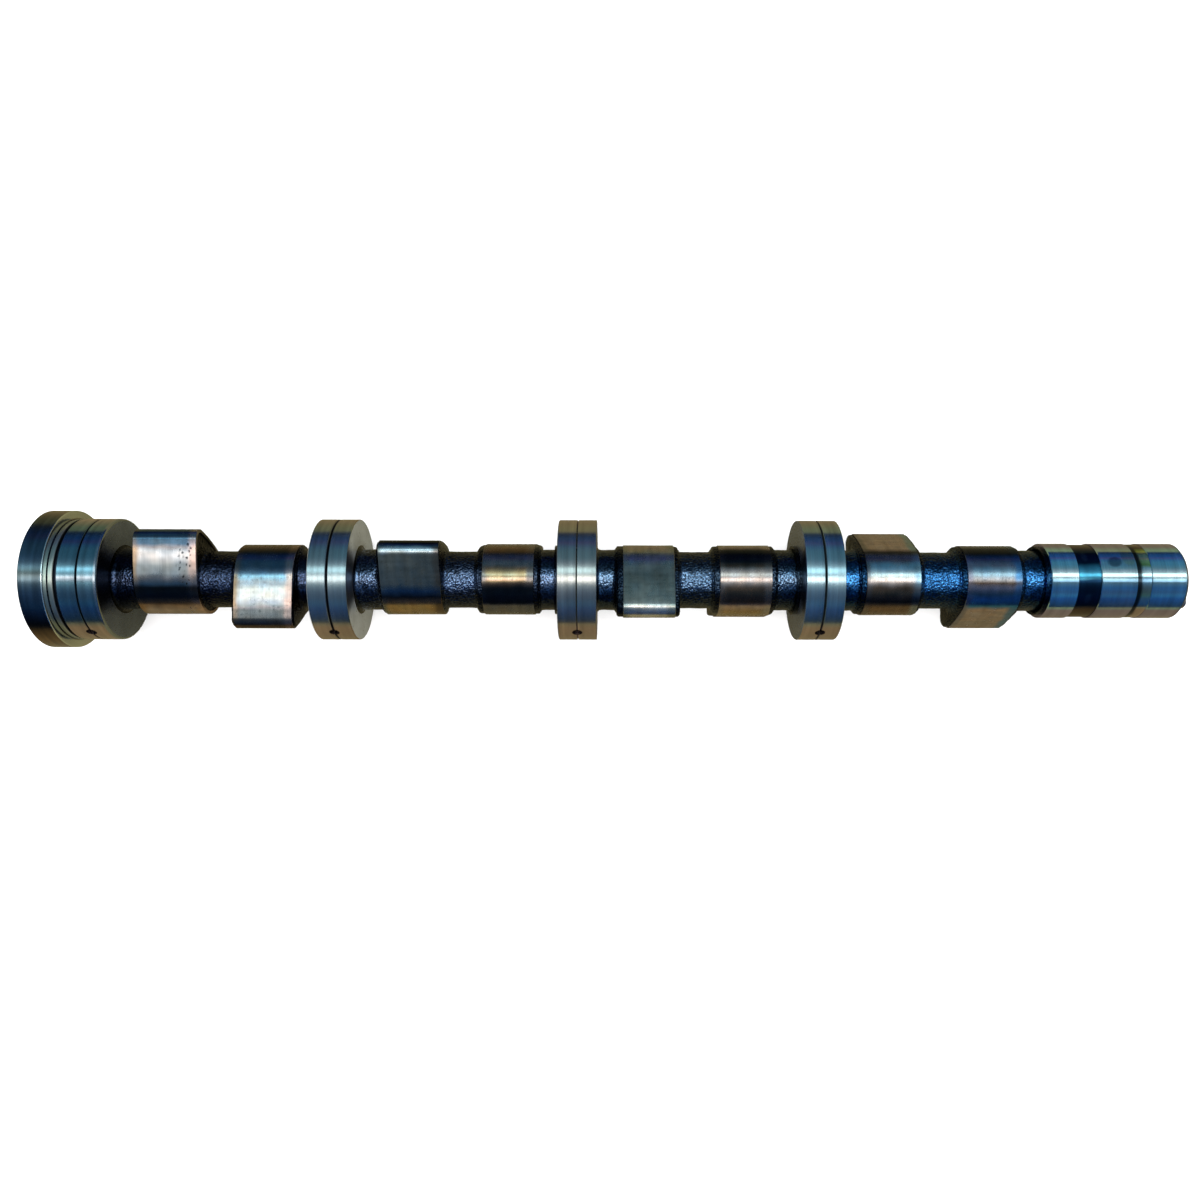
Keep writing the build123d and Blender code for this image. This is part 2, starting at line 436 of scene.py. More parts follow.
def ground_steel(name, roughness, contrast):
    """Ground iron with grinding lines, a darkening and a little oil.

    The vertices carry its colour as steel, with painted highlights, painted shade and a painted
    reflection in it as well as tints; a darkening, which is painted shade in the journals' grooves
    and oil holes and real pits on the cams; and dull, which is added to the roughness.
    """
    material, tree, shader, coordinate = new_material(name)
    lines = use_group(tree, grinding, {"UV": coordinate.outputs["UV"]}, {"Contrast": contrast})
    oil = use_group(tree, oil_patches, {"Coordinate": coordinate.outputs["Object"]}, {"Amount": 0.4})
    shade = ranged(tree, lines.outputs["Lines"], 0.2, 0.8, 0.72, 1.0)
    lined = mix_colour(tree, 1.0, mark(tree, "steel", "Color"), shade, "MULTIPLY")
    stain_and_shade = mark(tree, "stain_and_shade")
    dark = mix_colour(tree, stain_and_shade, lined, stain_and_shade_colour)
    base = ranged(tree, lines.outputs["Lines"], 0.2, 0.8, roughness * 1.25, roughness * 0.8)
    patchy = weighted_sum(tree, (base, 1.0), (oil.outputs["Mask"], 0.04), (mark(tree, "dull"), 1.0))
    stain_and_shade_roughness = math_node(tree, "MULTIPLY", stain_and_shade, 0.3)
    rough = math_node(tree, "ADD", patchy, stain_and_shade_roughness, True)
    join_shader(tree, shader, dark, 1.0, rough, bump(tree, lines.outputs["Height"], 0.15, 0.00005))
    return material


# %% Cast skin


def cast_iron(name, roughness):
    """The casting's skin, hammered and wet with oil.

    Its colour and the depth of the hammering are read from the vertices, as steel and hammer.
    """
    material, tree, shader, coordinate = new_material(name)
    skin = use_group(tree, hammered, {"Coordinate": coordinate.outputs["Object"]})
    oil = use_group(tree, oil_patches, {"Coordinate": coordinate.outputs["Object"]}, {"Amount": 0.5})
    shade = ranged(tree, skin.outputs["Hollows"], 0.0, 1.0, 0.35, 1.3)
    sand = noise(tree, coordinate.outputs["Object"], 1500.0, 1.0)
    specks = ranged(tree, sand, 0.40, 0.60, 0.35, 1.15)
    hollowed = mix_colour(tree, 1.0, mark(tree, "steel", "Color"), shade, "MULTIPLY")
    colour = mix_colour(tree, 1.0, hollowed, specks, "MULTIPLY")
    rough = ranged(tree, oil.outputs["Mask"], 0.0, 1.0, roughness * 1.15, roughness * 0.8)
    height = math_node(tree, "MULTIPLY", skin.outputs["Height"], mark(tree, "hammer"))
    join_shader(tree, shader, colour, 1.0, rough, bump(tree, height, 1.0, 0.00038))
    return material


# %% Turned faces


def turned_steel(name, base, roughness, metal=1.0):
    """A turned face that was never ground: dull, with faint rings."""
    material, tree, shader, coordinate = new_material(name)
    rings = noise(tree, stretched(tree, coordinate.outputs["Object"], (40.0, 900.0, 900.0)), 1.0, 3.0)
    patches = noise(tree, coordinate.outputs["Object"], 120.0, 4.0)
    shade = mix_colour(tree, patches, base, tuple(0.45 * channel for channel in base))
    # The vertices' darkening is painted shade on the journals' side faces and in the flange's groove,
    # and a dark front end on the pulley seat.
    dark = mix_colour(tree, mark(tree, "stain_and_shade"), shade, stain_and_shade_colour)
    rough = ranged(tree, rings, 0.3, 0.7, roughness * 0.85, roughness * 1.15)
    join_shader(tree, shader, dark, metal, rough, bump(tree, rings, 0.2, 0.0001))
    return material


# %% The materials
journal_steel = ground_steel("ground_journal", 0.15, 1.5)
cam_steel = ground_steel("ground_cam", 0.17, 1.6)
rim_steel = ground_steel("flange_rim", 0.15, 0.9)
bright_steel = ground_steel("lapped_thrust_face", 0.11, 1.0)
casting_skin = cast_iron("casting_skin", 0.20)
side_steel = turned_steel("turned_side_face", (0.30, 0.37, 0.52), 0.30)
pale_side_steel = turned_steel("pale_side_face", (0.78, 0.84, 0.86), 0.32, 0.84)
small_steel = turned_steel("pressed_in_steel", (0.42, 0.42, 0.43), 0.3)
relief_steel = ground_steel("turned_relief", 0.16, 1.0)
end_steel = ground_steel("ground_pulley_end", 0.11, 1.4)
print("materials:", [material.name for material in bpy.data.materials])


# %% Finishes


def ground_marks(steel, stain_and_shade=0.0, dull=0.0):
    """The values that a ground piece's vertices carry for its shader."""
    return {"steel": steel, "stain_and_shade": stain_and_shade, "dull": dull}


# Finishes that heat, oil and wear have left on the ground surfaces, and painted light: colour, and
# added roughness. bright, mirror and polished serve as painted highlights, the darkest one as
# painted shade, and the light warm one for the sides as a painted reflection of the bench; the
# zones lay them all at fixed angles from straight up.
finishes_and_painted_light = {
    "bright": ((0.58, 0.57, 0.56), 0.13),
    "mirror": ((0.70, 0.70, 0.65), 0.13),
    "polished": ((0.70, 0.70, 0.65), 0.05),
    "silver": ((0.38, 0.41, 0.43), 0.10),
    "pewter": ((0.30, 0.33, 0.33), 0.13),
    "sky": ((0.44, 0.64, 0.74), 0.02),
    "grey": ((0.19, 0.19, 0.20), 0.06),
    "teal": ((0.28, 0.46, 0.56), 0.02),
    "blued": ((0.07, 0.13, 0.19), 0.00),
    "deep blue": ((0.06, 0.26, 0.54), 0.00),
    "dim": ((0.11, 0.13, 0.135), 0.08),
    "dull": ((0.20, 0.22, 0.19), 0.12),
    "pale": ((0.30, 0.33, 0.29), 0.10),
    "violet": ((0.25, 0.25, 0.33), 0.05),
    "straw": ((0.46, 0.33, 0.17), 0.02),
    "amber": ((0.48, 0.34, 0.17), 0.04),
    "peach": ((0.66, 0.46, 0.38), 0.08),
    "rose": ((0.48, 0.41, 0.37), 0.03),
    "copper": ((0.36, 0.22, 0.10), 0.03),
    "brown": ((0.24, 0.16, 0.10), 0.05),
    "umber": ((0.10, 0.07, 0.05), 0.05),
    "painted_shade": ((0.014, 0.020, 0.026), 0.05),
    "painted_reflection": ((0.52, 0.42, 0.42), 0.00),
    "cool": ((0.52, 0.62, 0.66), 0.02),
    "gold": ((0.56, 0.47, 0.30), 0.02),
}


def round_the_shaft(angle, zones):
    """Colour and added roughness at each angle, blended between the zones' finishes.

    The zones are (degrees from straight up towards +Y, finish), in rising order; between two of
    them each channel changes evenly, and beyond the ends they close round the underside. Since the
    angles are fixed from straight up, the zones paint highlights and shade there as well as tints.
    """
    at = np.array([zone[0] for zone in zones], dtype=float)
    table = np.array([(*finishes_and_painted_light[zone[1]][0], finishes_and_painted_light[zone[1]][1]) for zone in zones])
    mixed = np.stack(
        [np.interp(from_top(angle), at, channel, period=360.0) for channel in table.T],
        axis=-1,
    )
    return mixed[..., :3], mixed[..., 3]


print("finishes:", len(finishes_and_painted_light))

# %% [markdown]
# ## The thrust flange
#
# The flange at the flywheel end keeps the shaft from wandering along its bore. Its front face
# runs against the housing, so it is polished by use. Between it and the first journal the
# grinding wheel needs room to run out, which is what the narrow groove is for.

# %% Thrust flange
columns = 240
turns = np.arange(columns) / columns * TURN  # the angles of a grid's columns, round the shaft

rear_face = -400.5
thrust_face = -391.0
flange_radius = 27.5
collar_radius = 24.0
witness_radius = 23.6  # of the fine line that parts the thrust face from the collar
run_out_radius = 22.8  # of the groove that the grinding wheel runs out into
plug_bore_radius = 8.0
plug_bore_depth = 6.6
shoulder = 0.35
bend = np.linspace(0.0, np.pi / 2, 9)
shoulder_x = (thrust_face - shoulder * (1.0 - np.sin(bend))).tolist()
shoulder_r = (flange_radius - shoulder * (1.0 - np.cos(bend))).tolist()
flange_front = journal_stations[0] - journal_half_width
flange_section = section(
    [
        (rear_face + plug_bore_depth, plug_bore_radius),
        (rear_face + 0.4, plug_bore_radius),
        (rear_face, plug_bore_radius + 0.4),
        (rear_face, flange_radius - 0.4),
        (rear_face + 0.4, flange_radius),
        *zip(shoulder_x, shoulder_r),
        (thrust_face, collar_radius),
        (thrust_face + 0.04, witness_radius),
        (thrust_face + 0.30, witness_radius),
        (thrust_face + 0.34, collar_radius),
        (thrust_face + 1.80, collar_radius),
        (thrust_face + 2.05, collar_radius - 0.2),
        (thrust_face + 2.1, run_out_radius),
        (flange_front, run_out_radius),
        (flange_front, plug_bore_radius),
    ],
    1.0,
)
flange_x, flange_r = flange_section.T
flange_points = around(flange_x[:, None], flange_r[:, None], turns[None, :])
near_face = (flange_x > thrust_face - shoulder + 0.01) & (flange_x < thrust_face + 0.01)
on_face = near_face & (flange_r > collar_radius + 0.05)
on_collar = (flange_x > thrust_face + 0.30) & (flange_r > collar_radius - 0.3)
on_rim = (flange_r > flange_radius - 0.5) & (flange_x > rear_face + 0.3) & ~on_face
flange_rows = np.where(on_face | on_collar, 1, np.where(on_rim, 2, 0))
in_groove = (flange_x > thrust_face + 0.01) & (flange_r < collar_radius - 0.1) & (flange_r > 20.0)
finishes_and_painted_light["rim teal"] = ((0.09, 0.12, 0.12), 0.00)
# The rim's darkest zone, on its lower side, is painted shade.
rim_zones = [
    (-110, "blued"), (-60, "brown"), (-40, "painted_shade"), (-14, "blued"), (4, "rim teal"),
    (16, "blued"), (56, "rim teal"), (75, "brown"),
]
rim_colour = round_the_shaft(turns, rim_zones)[0]
uneven = waves(flange_points * np.array([3.0, 0.2, 0.2]), 5.0, 10, 31)[..., None]
rim_colour = rim_colour[None] * (1.0 + 0.25 * uneven)
flange_colour = np.where(on_collar[:, None, None], np.array((0.46, 0.50, 0.45)), rim_colour)
flange_colour = np.where(on_face[:, None, None], np.array((0.90, 1.0, 0.96)), flange_colour)
thrust_flange = piece(
    "thrust_flange",
    flange_points,
    [side_steel, bright_steel, rim_steel],
    flange_rows,
    ground_marks(
        flange_colour * (1.0 + 0.2 * uneven),
        # The run-out groove is painted dark: painted shade.
        stain_and_shade=np.where(in_groove, 0.85, 0.0)[:, None],
        dull=np.where(on_collar, 0.18, 0.03)[:, None],
    ),
    sharp=40.0,
)
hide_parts("camshaft")

# %% [markdown]
# ## The large journals
#
# Each journal is a ground drum with a V groove round its middle. Oil comes up a radial hole in
# the groove and spreads round the bearing. A round hole does not fit a square grid, so near the
# hole the grid is warped: squares of nodes around the hole's centre become circles. One of
# those circles is the rim of the hole, and all nodes inside it drop to its bottom.

# %% The grid of a journal
oil_hole_angle = math.radians(-60.0)
oil_hole_radius = 2.0
oil_hole_depth = 9.0
groove_depth = 0.6
rear_edge = 0.3
side_face_foot = 10.5  # the radius, hidden in the casting, at which the side faces end
patch = 3.2  # half the side of the warped square round the hole


def journal_grid(radius, groove_half_width, front_chamfer):
    """Rows, columns and radii of one journal, with the groove and the oil hole cut in.

    A row runs at constant x and a column at constant angle, except in the patch round the
    hole, where a node at square distance m from the centre moves to circular distance m.
    The radius falls by a V of the groove's depth, and to the hole's bottom inside its rim.
    """
    half = journal_half_width
    land = np.concatenate(
        (
            np.linspace(-half + rear_edge, -patch, 14, endpoint=False),
            np.linspace(-patch, -1.0, 11, endpoint=False),
            np.linspace(-1.0, 1.0, 20, endpoint=False),
            np.linspace(1.0, patch, 11, endpoint=False),
            np.linspace(patch, half - front_chamfer, 15, endpoint=False),
        )
    )
    bend = np.linspace(0.0, np.pi / 2, 7)
    edge_x = half - front_chamfer * (1.0 - np.sin(bend))
    edge_r = radius - front_chamfer * (1.0 - np.cos(bend))
    front = np.linspace(radius - front_chamfer, side_face_foot, 12)[1:]
    rear = np.linspace(radius - rear_edge, side_face_foot, 12)
    foot_x = [half - 1.0, -half + 1.0]
    foot_r = [side_face_foot, side_face_foot]
    x = np.concatenate((land, edge_x, np.full(len(front), half), foot_x, np.full(len(rear), -half)))
    r = np.concatenate((np.full(len(land), radius), edge_r, front, foot_r, rear[::-1]))
    local = np.linspace(-patch, patch, 33) / radius
    rest = np.linspace(patch / radius, TURN - patch / radius, 190)[1:-1]
    angle = oil_hole_angle + np.concatenate((local, rest))
    x, angle = np.meshgrid(x, angle, indexing="ij")
    r = np.repeat(r[:, None], x.shape[1], axis=1)
    round_it = (angle - oil_hole_angle) * radius
    outer = r > radius - 1e-6
    square = np.maximum(np.abs(x), np.abs(round_it))
    circle = np.hypot(x, round_it) + 1e-9
    near = outer & (square < patch)
    back = np.clip((square - oil_hole_radius) / (patch - oil_hole_radius), 0.0, 1.0)
    factor = np.where(near, (1.0 - back) * square / circle + back, 1.0)
    x = x * factor
    angle = oil_hole_angle + (angle - oil_hole_angle) * factor
    groove = np.clip(1.0 - np.abs(x) / groove_half_width, 0.0, 1.0) * groove_depth
    r = np.where(outer, r - groove, r)
    in_hole = near & (square < oil_hole_radius - 0.05)
    r = np.where(in_hole, radius - oil_hole_depth, r)
    return x, r, angle, outer, in_hole


# %% How each journal looks
finishes_and_painted_light.update(
    {
        "rear journal": ((0.17, 0.31, 0.37), 0.00),
        "rear painted highlight": ((0.30, 0.36, 0.40), 0.00),
        "rear painted sheen": ((0.22, 0.40, 0.48), 0.00),
        "rear shade": ((0.10, 0.14, 0.17), 0.00),
        "second journal": ((0.34, 0.42, 0.43), 0.05),
        "third journal": ((0.46, 0.48, 0.45), 0.04),
        "fourth journal": ((0.36, 0.50, 0.54), 0.03),
    }
)
# Over the rear journal's top, a band of painted shade, a painted highlight and a painted sheen, at
# fixed angles from straight up.
rear_painted_light_zones = [
    (-5, "rear journal"), (-2.2, "rear shade"), (0.9, "rear painted highlight"), (2.8, "rear journal"),
    (6.3, "rear journal"), (8.2, "rear painted sheen"), (9.8, "rear journal"),
]
print("finishes:", len(finishes_and_painted_light))
journal_looks = [
    # half width of the groove, the painted shade in it, front edge, the side faces' finish
    (0.46, 1.0, 0.9, side_steel),
    (0.60, 1.0, 0.3, pale_side_steel),
    (0.26, 0.2, 0.3, side_steel),
    (0.50, 0.9, 0.3, side_steel),
]

# %% Journals
journal_names = ("rear", "second", "third", "fourth")
for number, (station, radius) in enumerate(zip(journal_stations, journal_radii)):
    groove, groove_shade, edge, side = journal_looks[number]
    x, r, angle, outer, in_hole = journal_grid(radius, groove, edge)
    outer_row = outer[:, 0] | ((r[:, 0] > radius - edge + 0.01) & (x[:, 0] > 0))
    points = around(x + station, r, angle)
    own = f"{journal_names[number]} journal"
    painted_light_zones = rear_painted_light_zones if number == 0 else []
    # At the sides, where the steel mirrors the bench, it is painted lighter: a painted reflection.
    painted_reflection_side = [(-80, "painted_reflection"), (-52, "painted_reflection")]
    journal_zones = [*painted_reflection_side, (-42, own), *painted_light_zones, (55, own), (75, "painted_reflection")]
    steel, dull = round_the_shaft(angle, journal_zones)
    streak = waves(points * np.array([3.0, 0.15, 0.15]), 7.0, 16, 40 + number)[..., None]
    steel = steel * (1.0 + 0.16 * streak)
    if number == 0:
        on_edge = steps(x, journal_half_width - edge - 0.1, 99.0, 0.05)[..., None]
        steel = tinted(steel, (0.36, 0.42, 0.46), on_edge)
    # The groove is painted darker as it deepens and the oil hole black inside: painted shade.
    painted_groove_shade = np.maximum(groove_shade * np.clip((radius - r) / 0.25, 0.0, 1.0) * outer, in_hole * 1.0)
    # The side faces are painted dark over the top of the shaft: painted shade.
    painted_side_shade = 0.94 * steps(from_top(angle), -34.0, 30.0, 3.0)
    painted_shade = np.where(outer_row[:, None], painted_groove_shade, painted_side_shade)
    piece(
        f"{journal_names[number]}_journal",
        points,
        [side, journal_steel],
        np.where(outer_row, 1, 0),
        ground_marks(steel, painted_shade, dull),
    )

# %% [markdown]
# ## The profile of a cam
#
# A cam is a base circle with a nose. Two flank arcs join them, tangent to both, so that the
# valve starts to move without a blow. The outline is easiest to write by the direction of its
# normal: for each direction there is one point on the nose, on a flank or on the base circle,
# and moving every point back along its own normal gives the same cam a little smaller. The cast
# cheeks beside the ground band are just such a smaller cam.

# %% Cam outline
nose_centre = cam_base_radius + cam_lift - cam_nose_radius
to_shaft = cam_flank_radius - cam_base_radius
to_nose = cam_flank_radius - cam_nose_radius
flank_x = (to_shaft**2 - to_nose**2 + nose_centre**2) / (2 * nose_centre)
flank_y = math.sqrt(to_shaft**2 - flank_x**2)
base_turn = math.atan2(flank_y, -flank_x)
nose_turn = math.atan2(flank_y, nose_centre - flank_x)


def cam_points(normal, inset):
    """Height towards the nose and distance to the side of it, for each normal direction.

    The nose, a flank or the base circle is chosen by the normal's angle from the nose, and the
    point is that arc's centre plus its radius, less the inset, along the normal.
    """
    size = np.abs(normal)
    on_nose = size <= nose_turn
    on_flank = (size > nose_turn) & (size < base_turn)
    centre_x = np.where(on_nose, nose_centre, np.where(on_flank, flank_x, 0.0))
    centre_y = np.where(on_flank, -np.sign(normal) * flank_y, 0.0)
    arc = np.where(on_nose, cam_nose_radius, np.where(on_flank, cam_flank_radius, cam_base_radius))
    reach = arc - inset
    return centre_x + reach * np.cos(normal), centre_y + reach * np.sin(normal)


def cam_polar_radius(angle, inset):
    """The cam's radius at each angle from its nose, read off its outline."""
    normal = outline_normals()
    forward, aside = cam_points(normal, inset)
    turned = np.arctan2(aside, forward)
    order = np.argsort(turned)
    wrapped = (angle + np.pi) % TURN - np.pi
    return np.interp(wrapped, turned[order], np.hypot(forward, aside)[order], period=TURN)


def outline_normals():
    """Normal directions spread so that nose, flanks and base circle each get enough points."""
    half = np.concatenate(
        (
            np.linspace(0.0, nose_turn, 26, endpoint=False),
            np.linspace(nose_turn, base_turn, 40, endpoint=False),
            np.linspace(base_turn, np.pi, 44, endpoint=False),
        )
    )
    return np.concatenate((half, [np.pi], -half[:0:-1]))


flank_ends = [round(math.degrees(turn), 1) for turn in (nose_turn, base_turn)]
print(f"cam lift {cam_lift} mm, the flank's normal turns between {flank_ends} degrees")

# %% [markdown]
# ## The ground bands of the cams
#
# Only the middle of a cam is ground. It is a shell here, a little thicker than what the wheel
# takes off, and it lies over the casting. Every cam of the old shaft has its own colour, since
# each ran under its own load and kept its own oil: some are silver, some blue, brown or straw.
# Over these tints each cam also has its own painted highlights and painted shade, in bands round
# the shaft.

# %% How each cam looks
# The zones are painted light as much as tint: bright, mirror and polished bands are painted highlights,
# the darkest bands painted shade, and the other finishes are set at the angles where the highlights and
# the shade lie as seen from above.
cam_looks = [
    # rear and front end of the ground band from the cam's station, the finish of its rear and
    # front strips, and its zones round the shaft
    (-12.3, 12.4, "copper", "peach",
     [(-60, "painted_reflection"), (-44, "brown"), (-32, "painted_shade"), (-14, "painted_shade"), (-9, "blued"), (0, "grey"),
      (8, "pewter"), (20, "pewter"), (29, "bright"), (32, "bright"), (36, "silver"), (39, "grey"),
      (42, "blued"), (60, "blued"), (80, "painted_shade")]),
    (-11.6, 11.2, "copper", "peach",
     [(-70, "painted_shade"), (-56, "umber"), (-43, "dim"), (-39, "dim"), (-36.5, "grey"), (-34, "pewter"),
      (-31, "silver"), (-25, "mirror"), (-15, "mirror"), (-9, "silver"), (-5, "silver"), (4.5, "teal"),
      (9, "blued"), (38, "blued"), (50, "painted_shade"), (62, "umber"), (75, "brown")]),
    (-11.7, 11.7, "dull", "umber",
     [(-60, "amber"), (-48, "amber"), (-40, "brown"), (-30, "painted_shade"), (-20, "blued"), (-8, "dull"),
      (20, "dull"), (26, "dull"), (29, "cool"), (31.5, "cool"), (34, "blued"), (37, "painted_shade"),
      (70, "painted_shade")]),
    (-10.2, 10.0, "grey", "grey",
     [(-60, "grey"), (-48, "grey"), (-42, "painted_shade"), (-14, "painted_shade"), (-6, "umber"), (-2, "straw"),
      (0, "peach"), (2, "gold"), (4.5, "straw"), (6.5, "gold"), (9, "straw"), (13, "straw"),
      (18, "brown"), (24, "grey"), (38, "grey"), (50, "umber"), (65, "brown")]),
    (-10.0, 10.2, "pale", "pale",
     [(-70, "painted_shade"), (-50, "bright"), (-36, "polished"), (-34, "silver"), (-29.5, "polished"),
      (-23, "pale"), (-14, "pale"), (6, "dull"), (22, "pale"), (34, "violet"), (48, "pale"),
      (70, "painted_reflection")]),
    (-10.2, 10.2, "rose", "rose",
     [(-65, "amber"), (-48, "painted_reflection"), (-40, "umber"), (-26, "umber"), (-14, "brown"), (-4, "rose"),
      (14, "rose"), (22, "umber"), (30, "painted_shade"), (56, "painted_shade"), (70, "painted_reflection")]),
    (-10.6, 10.6, "grey", "teal",
     [(-60, "brown"), (-50, "brown"), (-38, "painted_shade"), (-26, "umber"), (-14, "brown"), (-4, "rose"),
      (4, "polished"), (15, "sky"), (24, "teal"), (32, "grey"), (42, "grey"), (52, "painted_shade"),
      (64, "painted_reflection"), (90, "painted_reflection")]),
    (-10.6, 10.6, "violet", "deep blue",
     [(-74, "painted_reflection"), (-56, "painted_reflection"), (-48, "deep blue"), (-36, "deep blue"), (-24, "blued"),
      (-13, "violet"), (-5, "umber"), (4, "silver"), (15, "sky"), (24, "violet"), (40, "blued"),
      (48, "painted_shade"), (62, "painted_shade"), (75, "grey")]),
]

# %% Cam bands
normals = outline_normals()
for number, ((station, direction), look) in enumerate(zip(cams, cam_looks)):
    rear, front, rear_finish, front_finish, zones = look
    band_corners = [
        (rear, 1.3),
        (rear, 0.15),
        (rear + 0.15, 0.0),
        (front - 0.15, 0.0),
        (front, 0.15),
        (front, 1.3),
    ]
    band_x, band_inset = section(band_corners, 0.4).T
    forward, aside = cam_points(normals[None, :], band_inset[:, None])
    angle = np.arctan2(aside, forward) + math.radians(direction)
    points = around((station + band_x)[:, None], np.hypot(forward, aside), angle)
    streak = waves(points * np.array([2.0, 0.25, 0.25]), 6.0, 14, 90 + number)[..., None]
    mottle = waves(points, 3.0, 20, 150 + number)[..., None]
    smear = waves(points, 6.0, 14, 120 + number)
    steel, dull = round_the_shaft(angle + np.radians(1.0) * smear, zones)
    # lit is how bright the zones' colour is, painted highlights included, and the end strips are tinted
    # in proportion to it.
    lit = np.clip(steel.sum(axis=-1, keepdims=True), 0.0, 1.0)
    from_rear = (band_x - rear)[:, None] + 0.5 * smear
    from_front = (front - band_x)[:, None] + 0.5 * smear
    for inwards, width, finish in ((from_rear, 1.7, rear_finish), (from_front, 2.8, front_finish)):
        strip = steps(inwards, -9.0, width, 0.35)[..., None] * lit * 0.85
        steel = tinted(steel, finishes_and_painted_light[finish][0], strip)
    lengthwise = waves(points * np.array([0.12, 1.0, 1.0]), 1.6, 20, 210 + number)[..., None]
    tint = 1.0 + 0.05 * waves(points, 5.0, 16, 240 + number)[..., None] * np.array((1.0, 0.0, -1.0))
    steel = np.clip(steel * tint * (1.0 + 0.12 * streak + 0.08 * mottle + 0.10 * lengthwise), 0.0, 1.0)
    near_front = steps(from_front, 1.2, 7.0, 0.5)
    pits = np.clip(waves(points, 1.3, 30, 180 + number) - 0.62, 0.0, 0.3) / 0.3
    stain_and_shade = pits * (near_front if number == 0 else 0.25)
    piece(
        f"cam_band_{number + 1}",
        points,
        [cam_steel],
        None,
        ground_marks(steel, stain_and_shade, np.clip(dull + 0.03 * smear, 0.0, 1.0)),
    )

# %% [markdown]
# ## The casting between the bearings
#
# From one journal to the next the casting is one skin: a neck, up the side of a cam, over its
# cheek, under the ground band, and down again. For every angle the section climbs a different
# height, because the cam's radius depends on the angle. The way up is a small fillet, a wall
# and a rounded edge. Then the whole skin is pushed in and out by a random field, which gives the
# hammered look that sand casting leaves.

# %% Ways up a cam and along the core
cheek_rear = -13.0  # the ends of a cam's cheeks, from the cam's station
cheek_front = 12.3
root = 1.6  # the cast slope where a neck meets a journal
tuck = 1.5  # how far the skin runs on inside the journals
tuck_radius = 6.0
wall_fillet = 1.5  # at the foot of a cheek's wall
wall_edge = 1.3  # the rounding at its top
wall_lean = 0.35  # the draft that lets the casting leave its mould


def climb(x_wall, low, high, forwards):
    """Rows of one way up a cam's side: a fillet, a wall and a rounded edge.

    low and high are radii, and high depends on the angle. forwards is 1 where the wall faces
    the rear, so that the section climbs as x grows, and -1 for the way down, which is the
    mirror image read backwards.
    """
    height = high - low
    fillet = np.minimum(wall_fillet, 0.42 * height)
    edge = np.minimum(wall_edge, 0.45 * height)
    bend = np.linspace(0.0, np.pi / 2, 6)[:, None]
    fillet_x = -fillet + fillet * np.sin(bend)
    fillet_r = low + fillet - fillet * np.cos(bend)
    share = np.linspace(0.0, 1.0, 12)[1:-1, None]
    wall_r = low + fillet + (height - fillet - edge) * share
    wall_x = wall_lean * share * np.ones_like(wall_r)
    edge_x = wall_lean + edge - edge * np.cos(bend)
    edge_r = high - edge + edge * np.sin(bend)
    x = np.concatenate((fillet_x, wall_x, edge_x))
    r = np.concatenate((fillet_r, wall_r, edge_r))
    if forwards > 0:
        return x_wall + x, r
    return (x_wall - x)[::-1], r[::-1]


def level(start, end, r_start, r_end, rows):
    """Rows that lead evenly from one place and radius to another, both ends left out."""
    share = np.linspace(0.0, 1.0, rows + 2)[1:-1, None]
    return start + share * (end - start), r_start + share * (r_end - r_start)


def bay_casting(number):
    """The grid of the casting between two bearings, before its skin is roughened."""
    angle = turns[None, :]
    start = journal_stations[number] + journal_half_width
    end = front_journal_rear if number == 3 else journal_stations[number + 1] - journal_half_width
    bend = np.linspace(0.0, np.pi / 2, 6)[:, None]
    ones = np.ones_like(angle)
    parts = [((start - tuck) * ones, (neck_radius + root) * ones)]
    root_r = neck_radius + root - root * np.sin(bend)
    parts.append(((start + root - root * np.cos(bend)) * ones, root_r * ones))
    lows = (neck_radius, core_radius, neck_radius)
    for which in (0, 1):
        station, direction = cams[2 * number + which]
        high = cam_polar_radius(angle - math.radians(direction), cheek_inset)
        up = climb(station + cheek_rear, lows[which], high, 1)
        down = climb(station + cheek_front, lows[which + 1], high, -1)
        parts.append(level(parts[-1][0][-1:], up[0][:1], parts[-1][1][-1:], up[1][:1], 16))
        parts.append(up)
        parts.append(level(up[0][-1:], down[0][:1], high, high, 14))
        parts.append(down)
    last_x, last_r = parts[-1][0][-1:], parts[-1][1][-1:]
    parts.append(level(last_x, (end - root) * ones, last_r, neck_radius * ones, 12))
    parts.append(((end - root * np.cos(bend[::-1])) * ones, root_r[::-1] * ones))
    parts.append(((end + tuck) * ones, (neck_radius + root) * ones))
    parts.append(((end + tuck) * ones, tuck_radius * ones))
    parts.append(((start - tuck) * ones, tuck_radius * ones))
    x = np.concatenate([part[0] for part in parts])
    r = np.concatenate([part[1] for part in parts])
    return x, r, angle


